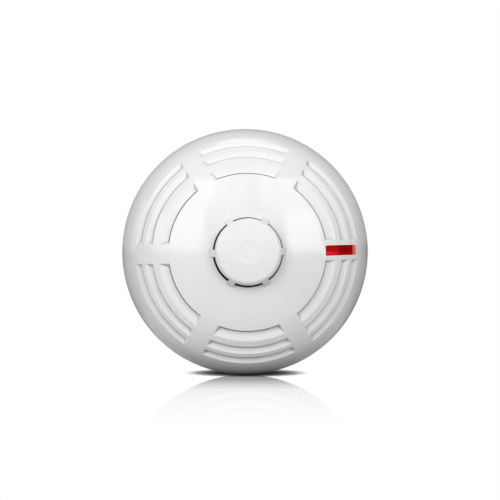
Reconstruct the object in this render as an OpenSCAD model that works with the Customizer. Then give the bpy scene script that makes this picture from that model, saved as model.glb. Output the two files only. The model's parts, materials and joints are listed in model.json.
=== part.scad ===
// Point heat detector: a vented head on a twist-lock mounting base.
// Frame: the origin is the centre of the mounting face, the detector faces -Y and +Z is up.
// Every module below is drawn standing on its back, with its height along the detector's axis,
// and the last section turns it into the frame.

/* [Head] */
// Diameter of the head at its rim
body_d = 108; // [106:0.5:110]
// Height of the head's rim above the mounting face
rim_h = 11.65; // [11.4:0.05:12.4]
// Wall thickness of the outer cover
cover_wall = 2.2; // [2:0.1:2.6]

/* [Dome outline] */
// Radius where the crown ends and the shoulder begins
crown_r = 30; // [28:0.5:32]
// Slope of the dome where the crown ends
crown_slope = 19; // [17:1:21]
// Radius where the shoulder ends
shoulder_r = 46; // [45:0.5:47]
// Slope of the dome where the shoulder ends
shoulder_slope = 46; // [44:1:48]
// Radius where the skirt begins
skirt_r = 50; // [49.5:0.5:50.5]
// Slope of the dome where the skirt begins
skirt_slope = 67; // [65:1:69]
// Slope of the skirt at the rim
rim_slope = 86; // [84:1:88]

/* [Louvres] */
// Number of spokes that divide the louvres
spoke_count = 6; // [6:1:6]
// Width of a spoke
spoke_w = 8.3; // [7.8:0.1:8.8]
// Slope of a spoke's sides, away from straight down
spoke_draft = 25; // [20:1:28]
// Radius of the first step
step_1_r = 33.6; // [33.4:0.1:34]
// Radius of the second step
step_2_r = 40.6; // [40.4:0.1:40.9]
// Radius of the third step
step_3_r = 45.3; // [45.1:0.1:45.5]
// Radial width of the first sloping ledge
ledge_1_w = 4.3; // [4:0.1:4.5]
// Radial width of the second sloping ledge
ledge_2_w = 3; // [2.7:0.1:3.2]
// Radial width of the third sloping ledge
ledge_3_w = 2.5; // [2.3:0.1:2.6]
// Slope of the ledges
ledge_slope = 4; // [3:1:10]
// Width of the air slit at the foot of the first step
slit_w = 0.3; // [0.3:0.05:0.5]
// Width of the groove at the foot of the other two steps
groove_w = 0.3; // [0.25:0.05:0.4]
// Depth of that groove
groove_depth = 0.5; // [0.3:0.1:0.6]
// Extra thickness of the cover under the louvres
louvre_wall = 1; // [0.9:0.1:1.1]

/* [Sensor cap] */
// Diameter of the cap over the sensing element
cap_d = 28.5; // [28.4:0.1:28.9]
// Height of the cap above the apex of the dome
cap_rise = 4.5; // [4:0.1:5]
// Thickness of the cap at its edge
cap_edge = 3.2; // [3:0.1:3.4]
// Rounding of the cap's upper edge
cap_round = 2.3; // [2:0.1:2.5]
// Diameter of the hole in the dome under the cap
cap_hole_d = 29.7; // [29.4:0.1:29.7]
// Width of a leg of the cap
leg_w = 3.1; // [2.8:0.1:3.4]
// Radius that the legs reach on the dome
leg_r = 16.2; // [16:0.1:16.3]

/* [Indicator] */
// Radius of the inner end of the light pipe
lens_inner_r = 33.4; // [33:0.1:34.5]
// Radius of the outer end of the light pipe
lens_outer_r = 47.2; // [46:0.1:47.4]
// Width of the light pipe
lens_w = 4.4; // [4:0.1:4.6]
// Height of the light pipe above the dome
lens_proud = 0.25; // [0.15:0.05:0.4]
// Width of the raised rim round its window
window_rim_w = 0.5; // [0.4:0.05:0.6]
// Height of that rim above the dome
window_rim_proud = 0.15; // [0.1:0.05:0.25]

/* [Mounting base] */
// Diameter of the base at the mounting face
base_back_d = 104.4; // [104:0.2:105]
// Diameter of the base next to the head
base_front_d = 106.4; // [106:0.2:106.6]
// Height of the base
base_h = 11; // [10.8:0.1:11.1]
// Thickness of the base floor
base_floor = 2.2; // [2:0.1:2.4]
// Diameter inside the base wall
base_bore_d = 100.8; // [100.6:0.1:101]
// Diameter of the cable entry
cable_entry_d = 24; // [20:1:26]
// Distance between the centres of the long fixing slots
fixing_wide = 60; // [58:1:62]
// Distance between the centres of the short fixing slots
fixing_narrow = 50; // [48:1:50]
// Width of a fixing slot
fixing_w = 4.4; // [4:0.1:5]
// End-to-end length of a long fixing slot
fixing_wide_l = 10; // [8:0.5:11]
// End-to-end length of a short fixing slot
fixing_narrow_l = 7; // [6:0.5:8]

/* [Bayonet] */
// Number of bayonet lugs
lug_count = 3; // [3:1:3]
// Half of the angle that the first lug covers; the others are smaller, so the head fits one way
key_lug_half = 12; // [11.5:0.5:12.5]
// Half of the angle that each other lug covers
lug_half = 10; // [9:0.5:11]
// Turn from locked to free
twist = 24; // [22:1:25]
// Diameter of the plug on the back of the head
plug_d = 92.6; // [92.4:0.1:92.8]

/* [Electronics] */
// Diameter of the circuit board
board_d = 84; // [83:0.5:86]
// Height of the back of the circuit board
board_h = 15; // [14.8:0.1:15.2]
// Thickness of the circuit board
board_t = 1.6; // [1.5:0.1:1.7]
// Number of terminals and contacts
terminal_count = 4; // [4:1:4]

/* [Hidden] */
$fn = 96;
eps = 0.01;

white = [0.93, 0.93, 0.92];
inside_black = [0.08, 0.08, 0.085];
lens_red = [0.75, 0.02, 0.03];
board_green = [0.06, 0.33, 0.16];
nickel = [0.78, 0.78, 0.76];
chip_black = [0.05, 0.05, 0.055];

body_r = body_d / 2;
spoke_angles = [for (i = [0 : spoke_count - 1]) i * 360 / spoke_count];

// ---- Dome outline: four arcs that meet with a common slope ----
break_r = [0, crown_r, shoulder_r, skirt_r, body_r];
break_slope = [0, crown_slope, shoulder_slope, skirt_slope, rim_slope];
outline_steps = 24;
function arc_r(i) = (break_r[i + 1] - break_r[i]) / (sin(break_slope[i + 1]) - sin(break_slope[i]));
function arc_drop(i) = arc_r(i) * (cos(break_slope[i]) - cos(break_slope[i + 1]));
function drop_to(i) = i == 0 ? 0 : drop_to(i - 1) + arc_drop(i - 1);
function arc_at(r) = r < crown_r ? 0 : r < shoulder_r ? 1 : r < skirt_r ? 2 : 3;
function arc_with(s) = s < crown_slope ? 0 : s < shoulder_slope ? 1 : s < skirt_slope ? 2 : 3;
// Radius at which the dome has slope s, and the slope and height of the dome at radius r
function reach(s) = let (i = arc_with(s)) break_r[i] + arc_r(i) * (sin(s) - sin(break_slope[i]));
function slope_at(r) = let (i = arc_at(r)) asin(sin(break_slope[i]) + (r - break_r[i]) / arc_r(i));
apex_h = rim_h + drop_to(4);
function dome_h(r) = let (i = arc_at(r))
    apex_h - drop_to(i) - arc_r(i) * (cos(break_slope[i]) - cos(slope_at(r)));
// Point of the dome at radius r, moved inwards by depth along the surface normal
function skin(r, depth) = [r - depth * sin(slope_at(r)), dome_h(r) - depth * cos(slope_at(r))];
function outline_r(from_r) = let (s0 = slope_at(from_r))
    [for (k = [0 : outline_steps]) k == 0 ? from_r : reach(s0 + (rim_slope - s0) * k / outline_steps)];

step_r = [step_1_r, step_2_r, step_3_r];
ledge_w = [ledge_1_w, ledge_2_w, ledge_3_w];
// The wall is thicker from wall_grows[1] to wall_grows[2], and goes back to normal over the rest
wall_grows = [30.5, 33, 47.5, 50];
function wall_at(r) = cover_wall + louvre_wall * max(0, min(1,
    (r - wall_grows[0]) / (wall_grows[1] - wall_grows[0]),
    (wall_grows[3] - r) / (wall_grows[3] - wall_grows[2])));

// ---- Sensor cap heights ----
cap_top = apex_h + cap_rise;
cap_crown_r = 120;
cap_flat_r = cap_d / 2 - cap_round;
cap_crown_drop = cap_crown_r - sqrt(pow(cap_crown_r, 2) - pow(cap_flat_r, 2));
cap_under = cap_top - cap_crown_drop - cap_edge;
notch_gap = 0.1;
lens_gap = 0.1;

// ---- Bayonet heights, from the mounting face up ----
plug_r = plug_d / 2;
plug_wall = 2;
plug_end_h = 4.2;
lug_bottom_h = 4.9;
lug_top_h = 7.1;
ledge_bottom_h = 7.4;
ledge_top_h = 9.6;
lug_reach = 3.6;
entry_gap = 1;
stop_gap = 0.7;
stop_angle = 2;
lug_angles = [for (i = [0 : lug_count - 1]) 30 + i * 360 / lug_count];
function lug_span(i) = i == 0 ? key_lug_half : lug_half;

// ---- Back of the head ----
head_floor_h = 9;
head_floor_t = 1.8;
flange_t = 1.7;
flange_r = body_r - cover_wall - 0.6;
post_r = 38;
post_angles = [60, 180, 300];
post_hole_r = 1.52;
screw_r = 1.5;
screw_clear_r = 1.7;
screw_head_r = 2.8;
screw_seat_h = 11.2;
screw_tip_h = 26;
board_top = board_h + board_t;

// ---- Terminals and contacts, laid out along their own radial line ----
terminal_angles = [for (i = [0 : terminal_count - 1]) 45 + i * 360 / terminal_count];
seat_h = 4;
strip_t = 0.6;
strip_w = 8;
terminal_screw_at = 26;
spring_from = 32.5;
spring_top_r = 38.5;
spring_end_r = 41;
spring_top_h = 8.1;
pad_bottom_h = 8.2;
clamp_t = 0.9;

// ---- Shared helpers ----
module spin(angle) {
    rotate([0, 0, angle])
        children();
}

module at_radius(r, angle, h = 0) {
    spin(angle)
        translate([r, 0, h])
            children();
}

// A radial section, drawn as radius and height, given a width across the radius
module radial_slab(w) {
    translate([0, w / 2, 0])
        rotate([90, 0, 0])
            linear_extrude(w)
                children();
}

// A part of a ring between two angles
module ring_part(r_in, r_out, h0, h1, a0, a1) {
    spin(a0)
        rotate_extrude(angle = a1 - a0)
            translate([r_in, h0])
                square([r_out - r_in, h1 - h0]);
}

module ring(r_in, r_out, h0, h1) {
    translate([0, 0, h0])
        difference() {
            cylinder(r = r_out, h = h1 - h0);
            translate([0, 0, -1])
                cylinder(r = r_in, h = h1 - h0 + 2);
        }
}

module block(size, centre, bottom) {
    translate([centre[0] - size[0] / 2, centre[1] - size[1] / 2, bottom])
        cube(size);
}

// A slot with round ends along X
module slot(l, w, h0, h1) {
    translate([0, 0, h0]) {
        for (side = [-1, 1])
            translate([side * (l - w) / 2, 0, 0])
                cylinder(d = w, h = h1 - h0, $fn = 48);
        translate([-(l - w) / 2, -w / 2, 0])
            cube([l - w, w, h1 - h0]);
    }
}

// ---- Mounting base ----
module base_wall() {
    bore_r = base_bore_d / 2;
    round_r = 0.8;
    front_r = base_front_d / 2;
    rotate_extrude($fn = 180)
        polygon([
            [bore_r - 6, 0],
            [base_back_d / 2 - round_r, 0],
            for (a = [-90 : 15 : 0])
                [base_back_d / 2 - round_r + round_r * cos(a), round_r + round_r * sin(a)],
            [front_r, base_h - round_r],
            for (a = [0 : 15 : 90])
                [front_r - round_r + round_r * cos(a), base_h - round_r + round_r * sin(a)],
            [bore_r, base_h],
            [bore_r, base_floor],
            [bore_r - 6, base_floor],
        ]);
}

// Ledge that holds the lugs, open where they enter
module bayonet_ledge() {
    out_r = base_bore_d / 2 + 0.5;
    in_r = plug_r + 0.4;
    for (i = [0 : lug_count - 1]) {
        half = lug_span(i);
        next = (i + 1) % lug_count;
        ring_part(in_r, out_r, ledge_bottom_h, ledge_top_h,
            lug_angles[i] + half + twist + stop_gap,
            lug_angles[i] + 360 / lug_count - lug_span(next) + twist - entry_gap);
        // The lug turns between these two stops, which stand on the floor and carry the ledge
        spin(lug_angles[i]) {
            ring_part(in_r + 0.1, out_r + 0.3, base_floor - eps, ledge_bottom_h + 1,
                -half - stop_gap - stop_angle, -half - stop_gap);
            ring_part(in_r + 0.1, out_r + 0.3, base_floor - eps, ledge_bottom_h + 1,
                half + twist + stop_gap + 0.2, half + twist + stop_gap + stop_angle);
        }
    }
}

module terminal_seat() {
    cheek_t = 1.2;
    cheek_h = 6.4;
    difference() {
        union() {
            block([20.5, strip_w + 3.2, seat_h - base_floor + eps], [30.6, 0], base_floor - eps);
            // Cheeks on both sides of the clamp keep the bare wires apart
            for (side = [-1, 1])
                block([11, cheek_t, cheek_h - base_floor],
                    [terminal_screw_at, side * (strip_w / 2 + 1)], base_floor);
        }
        translate([terminal_screw_at, 0, base_floor + 0.2])
            cylinder(r = screw_clear_r, h = seat_h, $fn = 32);
        // Pocket under the spring
        block([7.4, strip_w - 1, seat_h], [37.5, 0], base_floor + 0.4);
    }
}

module fixing_slots(h0, h1, grow = 0) {
    for (side = [-1, 1]) {
        translate([side * fixing_wide / 2, 0, 0])
            slot(fixing_wide_l + 2 * grow, fixing_w + 2 * grow, h0, h1);
        spin(90)
            translate([side * fixing_narrow / 2, 0, 0])
                slot(fixing_narrow_l + 2 * grow, fixing_w + 2 * grow, h0, h1);
    }
}

module base_plate() {
    collar_h = 3.4;
    rib_t = 1.2;
    rib_h = 1;
    knockout_w = 9;
    color(white)
        difference() {
            union() {
                cylinder(r = base_bore_d / 2 - 5, h = base_floor);
                base_wall();
                bayonet_ledge();
                for (a = terminal_angles)
                    spin(a)
                        terminal_seat();
                ring(cable_entry_d / 2, cable_entry_d / 2 + 1.6, base_floor - eps, collar_h);
                fixing_slots(base_floor - eps, collar_h, 1.5);
                // Ribs from the cable collar to the wall, between the terminals and the slots
                for (a = [22.5 : 45 : 340])
                    spin(a)
                        block([37.6, rib_t, rib_h], [31.8, 0], base_floor - eps);
            }
            translate([0, 0, -1])
                cylinder(d = cable_entry_d, h = collar_h + 2);
            fixing_slots(-1, collar_h + 1);
            // Pockets in the back that keep the wall under the terminals as thin as the rest
            for (a = terminal_angles)
                spin(a) {
                    block([6, 7, 2.5], [terminal_screw_at, 0], -1);
                    block([6, 7, 2.5], [37.5, 0], -1);
                }
            // Thinned panels in the wall, broken out for a surface-run cable
            for (a = [90, 270])
                spin(a)
                    block([0.8, knockout_w, 6], [base_bore_d / 2 + 0.3, 0], base_floor + 1);
        }
}

module terminal_strip(i) {
    color(nickel)
        spin(terminal_angles[i])
            difference() {
                union() {
                    block([spring_from - 20.8, strip_w, strip_t],
                        [(spring_from + 20.8) / 2, 0], seat_h);
                    // Leaf spring that rises to the contact of the head
                    radial_slab(strip_w - 2)
                        polygon([
                            [spring_from - 0.5, seat_h],
                            [spring_from, seat_h],
                            [spring_top_r, spring_top_h - strip_t],
                            [spring_end_r, spring_top_h - strip_t - 1],
                            [spring_end_r, spring_top_h - 0.9],
                            [spring_top_r + 0.6, spring_top_h],
                            [spring_top_r - 0.6, spring_top_h],
                            [spring_from - 0.5, seat_h + strip_t],
                        ]);
                }
                translate([terminal_screw_at, 0, 0])
                    cylinder(r = screw_r + 0.05, h = 10, $fn = 32);
            }
}

module wire_clamp(i) {
    clamp_w = 7;
    groove_w = 2;
    color(nickel)
        spin(terminal_angles[i])
            difference() {
                block([clamp_w, clamp_w, clamp_t], [terminal_screw_at, 0], seat_h + strip_t);
                translate([terminal_screw_at, 0, 0])
                    cylinder(r = screw_clear_r, h = 10, $fn = 32);
                // Shallow grooves that grip the wires on both sides of the screw
                for (side = [-1, 1])
                    block([clamp_w + 1, groove_w, 0.3],
                        [terminal_screw_at, side * (screw_clear_r + 0.9)], seat_h + strip_t - eps);
            }
}

// Pan-head screw: the shank points down from the underside of the head at height h
module pan_screw(h, shank_l, head_r, head_h, driver) {
    difference() {
        union() {
            translate([0, 0, h - shank_l])
                cylinder(r = screw_r, h = shank_l + eps, $fn = 32);
            rotate_extrude($fn = 48)
                polygon([
                    [0, h],
                    [head_r, h],
                    for (a = [0 : 18 : 90])
                        [head_r * (0.55 + 0.45 * cos(a)), h + head_h * (0.4 + 0.6 * sin(a))],
                    [0, h + head_h],
                ]);
        }
        if (driver == "slot")
            block([2 * head_r + 1, 0.8, 1.2], [0, 0], h + head_h - 0.9);
        else
            for (a = [0, 90])
                spin(a)
                    block([head_r * 1.3, 0.7, 2], [0, 0], h + head_h - 1.2);
    }
}

module terminal_screw(i) {
    head_seat = seat_h + strip_t + clamp_t;
    color(nickel)
        at_radius(terminal_screw_at, terminal_angles[i])
            spin(i * 35 + 20)
                pan_screw(head_seat, head_seat - base_floor - 0.4, 2.9, 1.9, "slot");
}

// ---- Head: back moulding and what it carries ----
module contact_tail_slot(h0, h1, gap) {
    block([2.4 + 2 * gap, 0.8 + 2 * gap, h1 - h0], [spring_top_r - 0.2, 0], h0);
}

module head_body() {
    rim_in = 48.6;
    color(white)
        difference() {
            union() {
                translate([0, 0, head_floor_h])
                    cylinder(r = plug_r - 0.5, h = head_floor_t);
                ring(plug_r - plug_wall, plug_r, plug_end_h, rim_h + flange_t);
                ring(plug_r - 1, flange_r, rim_h, rim_h + flange_t);
                ring(rim_in, rim_in + 1.5, rim_h + flange_t - eps, rim_h + flange_t + 2.4);
                for (i = [0 : lug_count - 1]) {
                    half = lug_span(i);
                    ring_part(plug_r - 1, plug_r + lug_reach, lug_bottom_h, lug_top_h,
                        lug_angles[i] - half, lug_angles[i] + half);
                }
                for (a = post_angles)
                    at_radius(post_r, a, head_floor_h + 1)
                        cylinder(r = 4.2, h = board_h - head_floor_h - 1, $fn = 48);
                // Pads that carry the board next to the contacts
                for (a = terminal_angles)
                    at_radius(33, a, head_floor_h + 1)
                        cylinder(r = 1.6, h = board_h - head_floor_h - 1, $fn = 32);
                // Stiffening ribs across the floor, on the side of the board
                for (a = [0, 90])
                    spin(a)
                        block([84, 1.2, 2], [0, 0], head_floor_h + head_floor_t - eps);
            }
            for (a = post_angles)
                at_radius(post_r, a) {
                    translate([0, 0, head_floor_h - 1])
                        cylinder(r = screw_head_r + 0.3, h = screw_seat_h - head_floor_h + 1, $fn = 48);
                    translate([0, 0, screw_seat_h - eps])
                        cylinder(r = screw_clear_r, h = 6, $fn = 32);
                }
            for (a = terminal_angles)
                spin(a)
                    contact_tail_slot(head_floor_h - 1, head_floor_h + 3, 0.05);
        }
}

module head_contact(i) {
    pad_l = 4.6;
    pad_w = 7;
    color(nickel)
        spin(terminal_angles[i]) {
            // The edges that meet the spring are bevelled, so it slides under the pad
            translate([spring_top_r - 0.2 - pad_l / 2, 0, 0])
                rotate([90, 0, 90])
                    linear_extrude(pad_l)
                        polygon([
                            [-pad_w / 2, head_floor_h],
                            [-pad_w / 2, head_floor_h - 0.3],
                            [-pad_w / 2 + 0.9, pad_bottom_h],
                            [pad_w / 2 - 0.9, pad_bottom_h],
                            [pad_w / 2, head_floor_h - 0.3],
                            [pad_w / 2, head_floor_h],
                        ]);
            contact_tail_slot(head_floor_h - eps, board_top + 1.2, 0);
        }
}

module cover_screws() {
    color(nickel)
        for (a = post_angles)
            at_radius(post_r, a)
                rotate([180, 0, 0])
                    pan_screw(-screw_seat_h, screw_tip_h - screw_seat_h, screw_head_r, 2, "cross");
}

led_r = 40;
thermistor_pitch = 2.54;
reference_at = [12, -27];
chip_at = [0, 24];

module circuit_board() {
    color(board_green)
        difference() {
            translate([0, 0, board_h])
                cylinder(d = board_d, h = board_t, $fn = 128);
            for (a = post_angles)
                at_radius(post_r, a, board_h - 1)
                    cylinder(r = screw_clear_r, h = board_t + 2, $fn = 32);
            for (a = terminal_angles)
                spin(a)
                    contact_tail_slot(board_h - 1, board_top + 1, 0.05);
            for (side = [-1, 1]) {
                translate([side * thermistor_pitch / 2, 0, board_h - 1])
                    cylinder(r = 0.35, h = board_t + 2, $fn = 24);
                translate([led_r, side * thermistor_pitch / 2, board_h - 1])
                    cylinder(r = 0.35, h = board_t + 2, $fn = 24);
                translate([reference_at[0] + side * thermistor_pitch / 2, reference_at[1], board_h - 1])
                    cylinder(r = 0.35, h = board_t + 2, $fn = 24);
            }
        }
}

// Chimney that holds the sensing element in the middle of the opening under the cap
module sensor_tower() {
    tube_in = 3.2;
    tube_out = 4.8;
    foot_r = 9;
    dish_r = 18.6;
    dish_h = 42.2;
    color(inside_black)
        difference() {
            rotate_extrude($fn = 96)
                polygon([
                    [tube_in, board_top],
                    [foot_r, board_top],
                    [foot_r, board_top + 1.4],
                    [tube_out + 1.5, board_top + 2.2],
                    [tube_out, board_top + 4.5],
                    [tube_out, dish_h - 2],
                    [tube_out + 2, dish_h],
                    [dish_r, dish_h],
                    [dish_r, dish_h + 2.8],
                    [dish_r - 1.1, dish_h + 2.8],
                    [dish_r - 1.1, dish_h + 1.3],
                    [tube_out + 0.6, dish_h + 1.3],
                    [tube_out - 0.2, dish_h + 3.4],
                    [tube_in, dish_h + 3.4],
                ]);
            // Windows that let the air reach the tube
            for (a = [30, 150, 270])
                at_radius(tube_out + 1, a, dish_h - 9)
                    block([6, 2.4, 6], [0, 0], 0);
        }
}

bead_r = 1.6;
lead_r = 0.25;
bead_h = cap_under - 2;

module thermistor_bead() {
    color(inside_black)
        translate([0, 0, bead_h])
            difference() {
                sphere(r = bead_r, $fn = 48);
                for (side = [-1, 1])
                    translate([side * thermistor_pitch / 2, 0, -bead_r])
                        cylinder(r = lead_r, h = bead_r, $fn = 16);
            }
}

module thermistor_leads() {
    color(nickel)
        for (side = [-1, 1])
            translate([side * thermistor_pitch / 2, 0, board_h - 1])
                cylinder(r = lead_r, h = bead_h - board_h + 1, $fn = 16);
}

module reference_thermistor() {
    color(inside_black)
        translate([reference_at[0], reference_at[1], board_top + 3]) {
            sphere(r = bead_r, $fn = 48);
            for (side = [-1, 1])
                translate([side * thermistor_pitch / 2, 0, -4 - board_t])
                    cylinder(r = lead_r, h = 3.8 + board_t, $fn = 16);
        }
}

module indicator_led() {
    color(lens_red)
        translate([led_r, 0, board_top + 1]) {
            cylinder(r = 1.9, h = 0.9, $fn = 48);
            cylinder(r = 1.5, h = 3.4, $fn = 48);
            translate([0, 0, 3.4])
                sphere(r = 1.5, $fn = 48);
        }
}

module led_leads() {
    color(nickel)
        for (side = [-1, 1])
            translate([led_r, side * thermistor_pitch / 2, board_h - 1])
                cylinder(r = lead_r, h = board_t + 2, $fn = 16);
}

chip_l = 8.7;
chip_w = 3.9;
chip_t = 1.5;
chip_pitch = 1.27;
chip_lift = 0.15;

module microcontroller() {
    color(chip_black)
        difference() {
            block([chip_l, chip_w, chip_t], chip_at, board_top + chip_lift);
            // Dimple that marks the first leg
            translate([chip_at[0] - chip_l / 2 + 1, chip_at[1] - 1, board_top + chip_lift + chip_t - 0.2])
                cylinder(r = 0.4, h = 1, $fn = 24);
        }
}

module microcontroller_legs() {
    color(nickel)
        for (side = [-1, 1], k = [-3 : 3])
            translate([chip_at[0] + k * chip_pitch - 0.2, chip_at[1] + side * chip_w / 2, 0])
                scale([1, side, 1])
                    rotate([90, 0, 90])
                        linear_extrude(0.4)
                            polygon([
                                [0, board_top + 1],
                                [0.5, board_top + 1],
                                [0.7, board_top + 0.2],
                                [1.2, board_top + 0.2],
                                [1.2, board_top],
                                [0.5, board_top],
                                [0.3, board_top + 0.8],
                                [0, board_top + 0.8],
                            ]);
}

module bridge_rectifier() {
    color(chip_black)
        block([4.7, 3.9, 2.5], [-20, 12], board_top);
}

module surge_suppressor() {
    color(chip_black)
        block([4.4, 3.6, 2.3], [-27, 4], board_top);
}

module electrolytic_capacitors() {
    color([0.12, 0.14, 0.2])
        for (p = [[-22, -10], [-14, -20]])
            translate([p[0], p[1], board_top]) {
                block([6.6, 6.6, 0.8], [0, 0], 0);
                cylinder(d = 6.3, h = 7.2, $fn = 64);
            }
}

module chip_resistors() {
    color(chip_black)
        for (k = [0 : 4], row = [0, 1])
            block([2, 1.25, 0.55], [14 + 3.4 * k, 14 + 4 * row], board_top);
}

module chip_capacitors() {
    color([0.62, 0.5, 0.36])
        for (k = [0 : 3])
            block([1.25, 2, 0.9], [20 + 3 * k, -12], board_top);
}

module transistors() {
    color(chip_black)
        for (x = [-8, -2, 4])
            block([2.9, 1.3, 1], [x, 33], board_top);
}

// ---- Head: what shows from the front ----
// The room cleared by one louvre: a sloping ledge and, at the foot of its step, a slit through the
// wall or a shallow groove
module louvre_section(i) {
    r0 = step_r[i];
    r1 = r0 + ledge_w[i];
    foot_w = i == 0 ? slit_w : groove_w;
    foot_depth = i == 0 ? 2 * (cover_wall + louvre_wall) : groove_depth;
    floor_at = dome_h(r1) + (ledge_w[i] - foot_w) * tan(ledge_slope);
    polygon([
        [r0, floor_at - foot_depth],
        [r0 + foot_w, floor_at - foot_depth],
        [r0 + foot_w, floor_at],
        [r1, dome_h(r1)],
        [r1, apex_h + 1],
        [r0, apex_h + 1],
    ]);
}

// What a spoke keeps clear of one louvre: it follows the slope of the dome and widens downwards
module spoke_wedge(i) {
    over = 2;
    depth = 8;
    half = spoke_w / 2;
    foot_half = half + depth * tan(spoke_draft);
    fall = atan((dome_h(step_r[i]) - dome_h(step_r[i] + ledge_w[i])) / ledge_w[i]);
    translate([step_r[i], 0, dome_h(step_r[i])])
        rotate([0, fall, 0])
            translate([-over, 0, 0])
                rotate([90, 0, 90])
                    linear_extrude(ledge_w[i] / cos(fall) + 2 * over)
                        polygon([
                            [-half, over],
                            [-half, 0],
                            [-foot_half, -depth],
                            [foot_half, -depth],
                            [half, 0],
                            [half, over],
                        ]);
}

module louvre_cuts() {
    for (i = [0 : len(step_r) - 1])
        difference() {
            rotate_extrude($fn = 180)
                louvre_section(i);
            for (a = spoke_angles)
                spin(a)
                    spoke_wedge(i);
        }
}

module dome_shell() {
    radii = outline_r(cap_hole_d / 2);
    n = outline_steps;
    rotate_extrude($fn = 180)
        polygon([
            for (k = [0 : n]) [radii[k], dome_h(radii[k])],
            [body_r - cover_wall, rim_h],
            for (k = [n - 1 : -1 : 0]) skin(radii[k], wall_at(radii[k])),
        ]);
}

// Raised rim round the window of the light pipe
module window_rim() {
    reach = lens_gap + window_rim_w;
    steps = 12;
    from_r = lens_inner_r - 2;
    to_r = lens_outer_r + 1.6;
    radii = [for (k = [0 : steps]) from_r + (to_r - from_r) * k / steps];
    intersection() {
        block([lens_outer_r - lens_inner_r + 2 * reach, lens_w + 2 * reach, 30],
            [(lens_outer_r + lens_inner_r) / 2, 0], apex_h - 24);
        rotate_extrude($fn = 180)
            polygon([
                for (k = [0 : steps]) skin(radii[k], -window_rim_proud),
                for (k = [steps : -1 : 0]) skin(radii[k], cover_wall / 2),
            ]);
    }
}

// The cover's three posts take the screws from the back; they end inside the thickness of the dome
module cover_posts() {
    radii = outline_r(cap_hole_d / 2);
    intersection() {
        for (a = post_angles)
            at_radius(post_r, a, board_top)
                cylinder(r = 3, h = 40, $fn = 48);
        rotate_extrude($fn = 180)
            polygon([
                [cap_hole_d / 2, 0],
                for (r = radii) skin(r, cover_wall / 2),
                [body_r - cover_wall, 0],
            ]);
    }
}

module outer_cover() {
    color(white)
        difference() {
            union() {
                dome_shell();
                cover_posts();
                window_rim();
            }
            louvre_cuts();
            for (a = post_angles)
                at_radius(post_r, a, board_top - 1)
                    cylinder(r = post_hole_r, h = screw_tip_h + 2 - board_top, $fn = 32);
            // Notches for the legs of the cap
            for (a = spoke_angles)
                spin(a)
                    block([4, leg_w + 2 * notch_gap, 20], [leg_r + notch_gap - 2, 0], apex_h - 12);
            // Window for the light pipe
            block([lens_outer_r - lens_inner_r + 2 * lens_gap, lens_w + 2 * lens_gap, 30],
                [(lens_outer_r + lens_inner_r) / 2, 0], apex_h - 24);
        }
}

module sensor_cap() {
    r = cap_d / 2;
    edge_top = cap_top - cap_crown_drop;
    fillet = cap_round;
    hook_h = dome_h(leg_r) - cover_wall / cos(slope_at(leg_r)) - 1.4;
    color(white)
        union() {
            rotate_extrude($fn = 128)
                polygon([
                    [0, cap_under + 1.4],
                    [0, cap_top],
                    for (k = [1 : 5])
                        let (x = cap_flat_r * k / 5)
                            [x, cap_top - cap_crown_r + sqrt(pow(cap_crown_r, 2) - pow(x, 2))],
                    for (a = [75 : -15 : 0])
                        [cap_flat_r + fillet * cos(a), edge_top - fillet + fillet * sin(a)],
                    [r, cap_under + 0.3],
                    [r - 0.3, cap_under],
                    [r - 2.2, cap_under],
                    [r - 2.6, cap_under + 1.4],
                ]);
            // Six legs: a sloping outer face, then a hook that clips under the dome
            for (a = spoke_angles)
                spin(a)
                    radial_slab(leg_w)
                        polygon([
                            [r - 2, cap_under + 0.6],
                            [r - 1, edge_top - 0.6],
                            [leg_r, dome_h(leg_r) - 0.2],
                            [leg_r, hook_h + 1],
                            [leg_r + 1, hook_h + 1],
                            [leg_r + 0.4, hook_h],
                            [r - 0.8, hook_h],
                            [r - 0.8, cap_under - 1.2],
                        ]);
        }
}

module light_pipe() {
    n = 10;
    step = (lens_outer_r - lens_inner_r) / n;
    radii = [for (k = [0 : n]) lens_inner_r + step * k];
    blade_t = 2.4;
    stem = [38.6, 41.4];
    stem_bottom = board_top + 6.1;
    color(lens_red)
        radial_slab(lens_w)
            polygon([
                for (r = radii) [r, dome_h(r) + lens_proud],
                [lens_outer_r, dome_h(lens_outer_r) - blade_t],
                [stem[1], dome_h(stem[1]) - blade_t],
                [stem[1], stem_bottom],
                [stem[0], stem_bottom],
                [stem[0], dome_h(stem[0]) - blade_t],
                [lens_inner_r, dome_h(lens_inner_r) - blade_t],
            ]);
}

// ---- Assembly in the frame: the axis of the detector is turned onto -Y ----
module placed(name) {
    rotate([90, 0, 0])
            children();
}

placed("base_plate") base_plate();
for (i = [0 : terminal_count - 1]) {
    placed(str("terminal_strip_", i + 1)) terminal_strip(i);
    placed(str("wire_clamp_", i + 1)) wire_clamp(i);
    placed(str("terminal_screw_", i + 1)) terminal_screw(i);
    placed(str("head_contact_", i + 1)) head_contact(i);
}
placed("head_body") head_body();
placed("cover_screws") cover_screws();
placed("circuit_board") circuit_board();
placed("sensor_tower") sensor_tower();
placed("thermistor_bead") thermistor_bead();
placed("thermistor_leads") thermistor_leads();
placed("reference_thermistor") reference_thermistor();
placed("indicator_led") indicator_led();
placed("led_leads") led_leads();
placed("microcontroller") microcontroller();
placed("microcontroller_legs") microcontroller_legs();
placed("bridge_rectifier") bridge_rectifier();
placed("surge_suppressor") surge_suppressor();
placed("electrolytic_capacitors") electrolytic_capacitors();
placed("chip_resistors") chip_resistors();
placed("chip_capacitors") chip_capacitors();
placed("transistors") transistors();
placed("outer_cover") outer_cover();
placed("sensor_cap") sensor_cap();
placed("light_pipe") light_pipe();
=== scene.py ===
"""Looks of the point heat detector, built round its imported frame.

The cover, the cap and the indicator get detailed shells. Every other CAD node keeps its shape and gets
a material.
"""

import json
import math

import bmesh
import bpy
from mathutils import Matrix, Vector


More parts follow.
